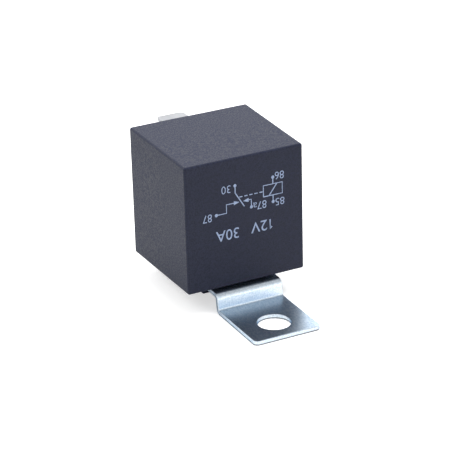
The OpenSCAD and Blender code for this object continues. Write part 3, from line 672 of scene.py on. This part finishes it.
# %% Circuit
coil_left, coil_right, coil_low, coil_top = 4.3, 8.75, 4.2, 6.7
slant_low, slant_top = (5.6, coil_low), (7.5, coil_top)
coil_end_x, coil_end_top, coil_end_low = 6.55, 8.2, 2.7
common_dot, pivot, contact_tip = (-2.25, 8.15), (-2.25, 6.5), (-0.2, 3.1)
make_dot, make_step_x, make_end_x, make_arrow_x = (-6.7, 2.4), -4.35, -2.4, -1.35
break_dot, break_end_x, break_arrow_x = (1.45, 2.6), 0.6, -0.45
contact_z = 4.3
dashes, dash_start, dash_pitch, dash_l, dash_z = 5, -1.35, 1.18, 0.75, 5.4
circuit = [
    ink_line([(coil_left, coil_low), (coil_left, coil_top), (coil_right, coil_top),
              (coil_right, coil_low), (coil_left, coil_low)]),
    ink_line([slant_low, slant_top]),
    ink_line([(coil_end_x, coil_top), (coil_end_x, coil_end_top)]),
    ink_line([(coil_end_x, coil_low), (coil_end_x, coil_end_low)]),
    ink_dot(coil_end_x, coil_end_top),
    ink_dot(coil_end_x, coil_end_low),
    # Common contact, drawn on its make side
    ink_dot(*common_dot),
    ink_line([common_dot, pivot, contact_tip]),
    # Make contact
    ink_dot(*make_dot),
    ink_line([make_dot, (make_step_x, make_dot[1]), (make_step_x, contact_z),
              (make_end_x, contact_z)]),
    ink_arrow(make_arrow_x, contact_z, 1),
    # Break contact
    ink_dot(*break_dot),
    ink_line([break_dot, (break_dot[0], contact_z), (break_end_x, contact_z)]),
    ink_arrow(break_arrow_x, contact_z, -1),
]
for i in range(dashes):
    start = dash_start + i * dash_pitch
    circuit.append(ink_line([(start, dash_z), (start + dash_l, dash_z)]))
circuit_print = join("circuit_print", circuit)
circuit_print.data.materials.append(print_ink)
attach(circuit_print, "housing")
print("circuit print:", len(circuit_print.data.polygons), "faces")

# %% [markdown]
# The words could be drawn stroke by stroke, as the circuit is, but a font has their shapes
# ready, and its offset makes them thinner or bolder. Each is a text object, made a mesh before
# it gets its size and place. They are upside down here, because the relay lies on the side
# that its bracket is on: text is drawn in the XY plane, tipped up by a quarter turn about X,
# and turned by half a turn on the face.

# %% Words as solids
letter_steps = 4
# Any depth will do here, because the scale sets the real one
letter_depth = 0.05


def solid_words(words, width, height, depth, turn, place, bolder=0.0):
    """Words of that width and height in mm and depth in metres, turned and centred there."""
    deselect_all()
    bpy.ops.object.text_add()
    text = bpy.context.object
    text.data.body = words
    text.data.align_x = "CENTER"
    text.data.align_y = "CENTER"
    text.data.resolution_u = letter_steps
    text.data.extrude = letter_depth
    text.data.offset = bolder
    bpy.ops.object.convert(target="MESH")
    mesh = bpy.context.object
    bpy.ops.object.origin_set(type="GEOMETRY_ORIGIN", center="BOUNDS")
    mesh.location = (0, 0, 0)
    mesh.scale = (width * MM / mesh.dimensions.x, height * MM / mesh.dimensions.y,
                  depth / mesh.dimensions.z)
    mesh.rotation_euler = turn
    mesh.location = place
    return set_place(mesh)


def printed_words(words, x, z, width, height, bolder=0.0):
    """Ink on the printed face, centred at x, z in mm from its middle."""
    turn = (pi / 2, pi, 0)
    return solid_words(words, width, height, 2 * ink_lift, turn, on_face(x, z), bolder)


# %% Terminal numbers in ink
thinner = -0.006
numbers = [
    printed_words("30", -4.35, 7.65, 2.1, 1.7, thinner),
    printed_words("86", 8.1, 8.35, 2.15, 1.75, thinner),
    printed_words("85", 8.15, 2.45, 2.1, 1.65, thinner),
    printed_words("87a", 3.4, 2.55, 3.15, 1.75, thinner),
    printed_words("87", -8.8, 2.1, 2.1, 1.75, thinner),
]
terminal_numbers = join("terminal_numbers", numbers)
terminal_numbers.data.materials.append(print_ink)
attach(terminal_numbers, "housing")
print("terminal numbers:", len(numbers))

# %% Rating line
# The 1 is drawn as a line with a corner, because the font's own has no flag
rating_h = 2.4
rating_stroke_w = 0.34 * MM
volt_z, amp_z = -2.27, -2.49
one_x, flag_x = 5.75, 6.17
rating = [
    ink_line([(one_x, volt_z + 0.45 * rating_h), (one_x, volt_z - 0.43 * rating_h),
              (flag_x, volt_z - 0.24 * rating_h)], rating_stroke_w),
    printed_words("2V", 3.15, volt_z, 3.75, rating_h),
    printed_words("30A", -4.26, amp_z, 5.3, rating_h),
]
rating_print = join("rating_print", rating)
rating_print.data.materials.append(print_ink)
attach(rating_print, "housing")
print("rating line:", len(rating_print.data.polygons), "faces")

# %% [markdown]
# At the other end, each blade has its number beside it. These aren't ink: the mould has them
# cut into it, so they stand out from the base in the same black nylon. They are only a little
# deep, and half of that is sunk in the base, so that no gap shows under them.

# %% Numbers moulded on the base
base_face_y = cover_high.y
number_depth = 0.6 * MM
number_h = 1.7
bolder = 0.014
facing_back = (-pi / 2, 0, 0)
moulded_numbers = []
for words, x, z, width in (("87", 6.4, 32.1, 2.3), ("87a", 0, 18.9, 3.4), ("30", 0, 6.85, 2.3),
                           ("85", -11.45, 21.7, 2.3), ("86", 11.45, 21.7, 2.3)):
    place = (x * MM, base_face_y, z * MM)
    moulded_numbers.append(
        solid_words(words, width, number_h, number_depth, facing_back, place, bolder))
base_numbers = join("base_numbers", moulded_numbers)
base_numbers.data.materials.append(black_base)
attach(base_numbers, "housing")
print("moulded numbers:", len(base_numbers.data.polygons), "faces")

# %% [markdown]
# The floor is plain and pale. It shows the relay's shadow, and where it is lit it is as white
# as the background. For what the camera sees straight on, in metal or through glass, some
# light of its own is added to the floor, and none of that light falls on the relay.

# %% Light that only some rays see
def seen_directly(owner):
    """Two values: 1 for rays from the camera, gloss or glass, and 1 for the camera's alone."""
    path = add_node(owner, "ShaderNodeLightPath")
    total = path.outputs["Is Camera Ray"]
    for name in ("Is Glossy Ray", "Is Transmission Ray"):
        either = add_node(owner, "ShaderNodeMath", operation="MAXIMUM")
        link(owner, total, either.inputs[0])
        link(owner, path.outputs[name], either.inputs[1])
        total = either.outputs[0]
    return total, path.outputs["Is Camera Ray"]


# %% Floor
floor_w = 1.6
light_when_seen = 0.07
more_for_camera = 0.5


def floor_finish():
    material, shader = new_finish("pale_floor", (0.7, 0.7, 0.7), 0.9)
    shader.inputs["Specular IOR Level"].default_value = 0.0
    shader.inputs["Emission Color"].default_value = (1, 1, 1, 1)
    seen, seen_by_camera = seen_directly(material)
    own_light = add_node(material, "ShaderNodeMath", operation="MULTIPLY")
    own_light.inputs[1].default_value = light_when_seen
    more_light = add_node(material, "ShaderNodeMath", operation="MULTIPLY_ADD")
    more_light.inputs[1].default_value = more_for_camera
    link(material, seen, own_light.inputs[0])
    link(material, seen_by_camera, more_light.inputs[0])
    link(material, own_light.outputs[0], more_light.inputs[2])
    link(material, more_light.outputs[0], shader.inputs["Emission Strength"])
    return material


deselect_all()
bpy.ops.mesh.primitive_plane_add(size=floor_w, location=(0, 0, 0))
floor = bpy.context.object
floor.name = "floor"
floor.data.materials.append(floor_finish())
print("floor: %.1f m wide" % floor_w)

# %% [markdown]
# The world is pale and fills the shadows, and the camera sees it as white. In the gloss it has
# one darker patch, above and in front, like the unlit part of a studio. An even world would
# leave the metal flat. The outer bend of the bracket and the back of the plate mirror the
# patch, so they shade from bright to dark.

# %% World
world = bpy.data.worlds.new("pale_world")
bpy.context.scene.world = world
world.use_nodes = True
background = world.node_tree.nodes["Background"]
background.inputs["Color"].default_value = (1, 1, 1, 1)
fill = 0.6
patch_light = 0.5
toward_patch = (0.25, -0.43, 0.87)
# Cosines of the angle to the patch's middle: it begins at 30 degrees and is full at 14
patch_rim, patch_full = 0.87, 0.97

direction = add_node(world, "ShaderNodeTexCoord")
nearness = add_node(world, "ShaderNodeVectorMath", operation="DOT_PRODUCT")
nearness.inputs[1].default_value = toward_patch
link(world, direction.outputs["Generated"], nearness.inputs[0])
room = between(world, nearness.outputs["Value"], 1.0, patch_light, patch_rim, patch_full)
seen, seen_by_camera = seen_directly(world)
strength = between(world, seen, fill, room, 0, 1)
strength = between(world, seen_by_camera, strength, 1.0, 0, 1)
link(world, strength, background.inputs["Strength"])
print("world: fill %.1f, patch %.1f" % (fill, patch_light))

# %% [markdown]
# Four soft lamps shape the relay. One hangs above and one at the left: they light the plastic
# and the floor. Both are kept out of the gloss, because a flat blade or plate would mirror
# them and burn out from some sides. A long lamp behind gives the top of the cover its low
# gleam, and a narrow one in front draws a line on the edge of the plate.

# %% Lamps
relay_middle = Vector((0, 0.02, 0.015))


def soft_lamp(name, place, width, height, power, in_gloss=True):
    """A flat lamp at that place, in metres, that looks at the relay."""
    deselect_all()
    bpy.ops.object.light_add(type="AREA", location=place)
    lamp = bpy.context.object
    lamp.name = name
    lamp.data.shape = "RECTANGLE"
    lamp.data.size = width
    lamp.data.size_y = height
    lamp.data.energy = power
    lamp.visible_glossy = in_gloss
    aim = relay_middle - Vector(place)
    lamp.rotation_euler = aim.to_track_quat("-Z", "Y").to_euler()
    return lamp


lamps = [
    soft_lamp("lamp_above", (0.25, 0.1, 0.7), 0.6, 0.6, 7.2, in_gloss=False),
    soft_lamp("lamp_left", (-0.7, 0.1, 0.9), 0.5, 0.5, 3.6, in_gloss=False),
    soft_lamp("lamp_behind", (0, 0.95, 0.45), 1.8, 0.7, 3.1),
    soft_lamp("lamp_front", (0.45, -0.95, 0.08), 0.8, 0.12, 0.5),
]
print("lamps:", [lamp.name for lamp in lamps])

# %% [markdown]
# The camera stands to the left and above, far off with a long lens, so the cover's edges
# stay nearly parallel. It is turned a little about its own axis, as a hand would hold it.

# %% Camera
camera_place = face + Vector((-175.05, -346.51, 172.35)) * MM
camera_aim = face + Vector((-4.79, 0, -0.14)) * MM
camera_roll = radians(1.618)
focal_px = 2044.5
photo_px = 450
sensor_w = 36

deselect_all()
bpy.ops.object.camera_add(location=camera_place)
camera = bpy.context.object
camera.data.sensor_width = sensor_w
camera.data.lens = focal_px / photo_px * sensor_w
look = (camera_aim - camera_place).to_track_quat("-Z", "Y").to_matrix()
camera.rotation_euler = (look @ Matrix.Rotation(-camera_roll, 3, "Z")).to_euler()
bpy.context.scene.camera = camera
bpy.context.scene.view_settings.view_transform = "Standard"
print("camera: %.1f mm lens" % camera.data.lens)

# %% Finish
deselect_all()
